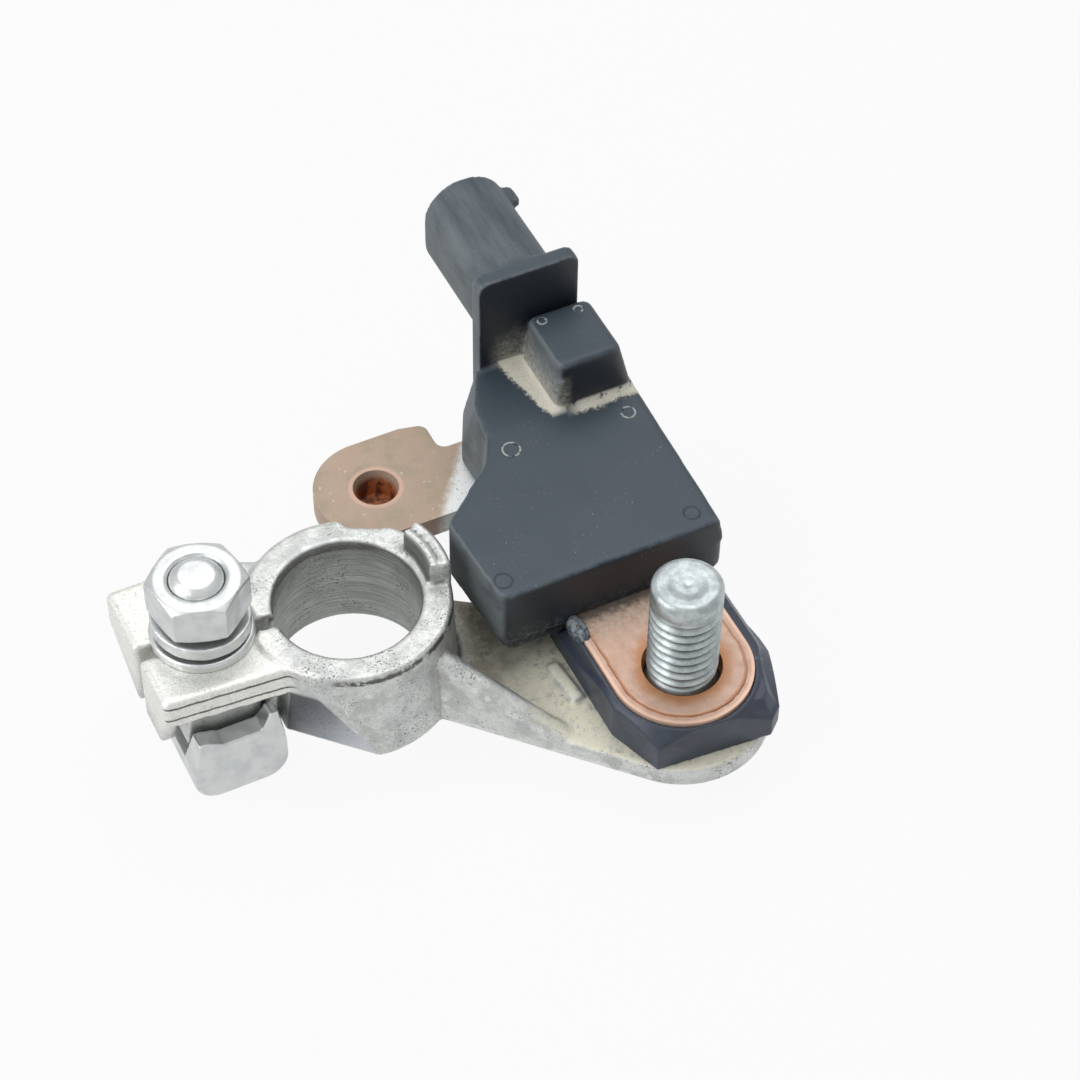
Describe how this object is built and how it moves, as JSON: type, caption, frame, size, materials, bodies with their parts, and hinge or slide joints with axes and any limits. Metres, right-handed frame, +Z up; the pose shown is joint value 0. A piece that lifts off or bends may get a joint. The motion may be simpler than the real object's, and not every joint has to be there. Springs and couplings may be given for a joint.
{
  "type": "battery terminal",
  "caption": "Battery terminal: split ring clamp with a wedge bolt, an arm with a threaded ground stud on a copper shunt, and a black current sensor housing with an oval plug socket.",
  "frame": {"origin": "on the axis of the battery post bore, at the bottom face of the clamp ring", "axes": "+Z up along the bore and the ground stud, +X along the front of the sensor housing, +Y out of the plug socket"},
  "size_m": [0.0658, 0.0694, 0.0357],
  "materials": {
    "casting": "tin-plated casting, satin grey with fine dark pits",
    "zinc_steel": "bright zinc-plated steel",
    "stud_steel": "zinc-plated steel",
    "copper": "dull copper with a pinkish bloom",
    "resistor_alloy": "dull resistor alloy",
    "black_plastic": "moulded, fine grain",
    "board": "green lacquer",
    "chip_plastic": "matt",
    "pin_brass": "tin-plated"
  },
  "bodies": {
    "terminal": {"pole_clamp": "casting", "flat_washer": "zinc_steel", "spring_washer": "zinc_steel", "ground_stud": "stud_steel", "stud_insulator": "black_plastic", "shunt_stud_plate": "copper", "shunt_resistor": "resistor_alloy", "shunt_tab_plate": "copper", "sensor_housing": "black_plastic", "housing_base": "black_plastic", "circuit_board": "board", "measuring_chip": "chip_plastic", "board_capacitors": "chip_plastic", "temperature_sensor": "chip_plastic", "sense_pins": "pin_brass", "connector_pin_left": "pin_brass", "connector_pin_right": "pin_brass"},
    "nut": {"clamp_nut": "zinc_steel"},
    "bolt": {"clamp_bolt": "zinc_steel"}
  },
  "joints": [
    {"name": "nut_turn", "type": "hinge", "parent": "terminal", "child": "nut", "pos_m": [-0.0158, 0.0026, 0.0195], "axis": [0, 0, 1], "range_deg": [-540, 0]},
    {"name": "bolt_lift", "type": "slide", "parent": "terminal", "child": "bolt", "axis": [0, 0, 1], "range_m": [0, 0.0015]}
  ],
  "couplings": [
    {"joint": "nut_turn", "follows": "bolt_lift", "rad_per_m": -6283.2}
  ]
}
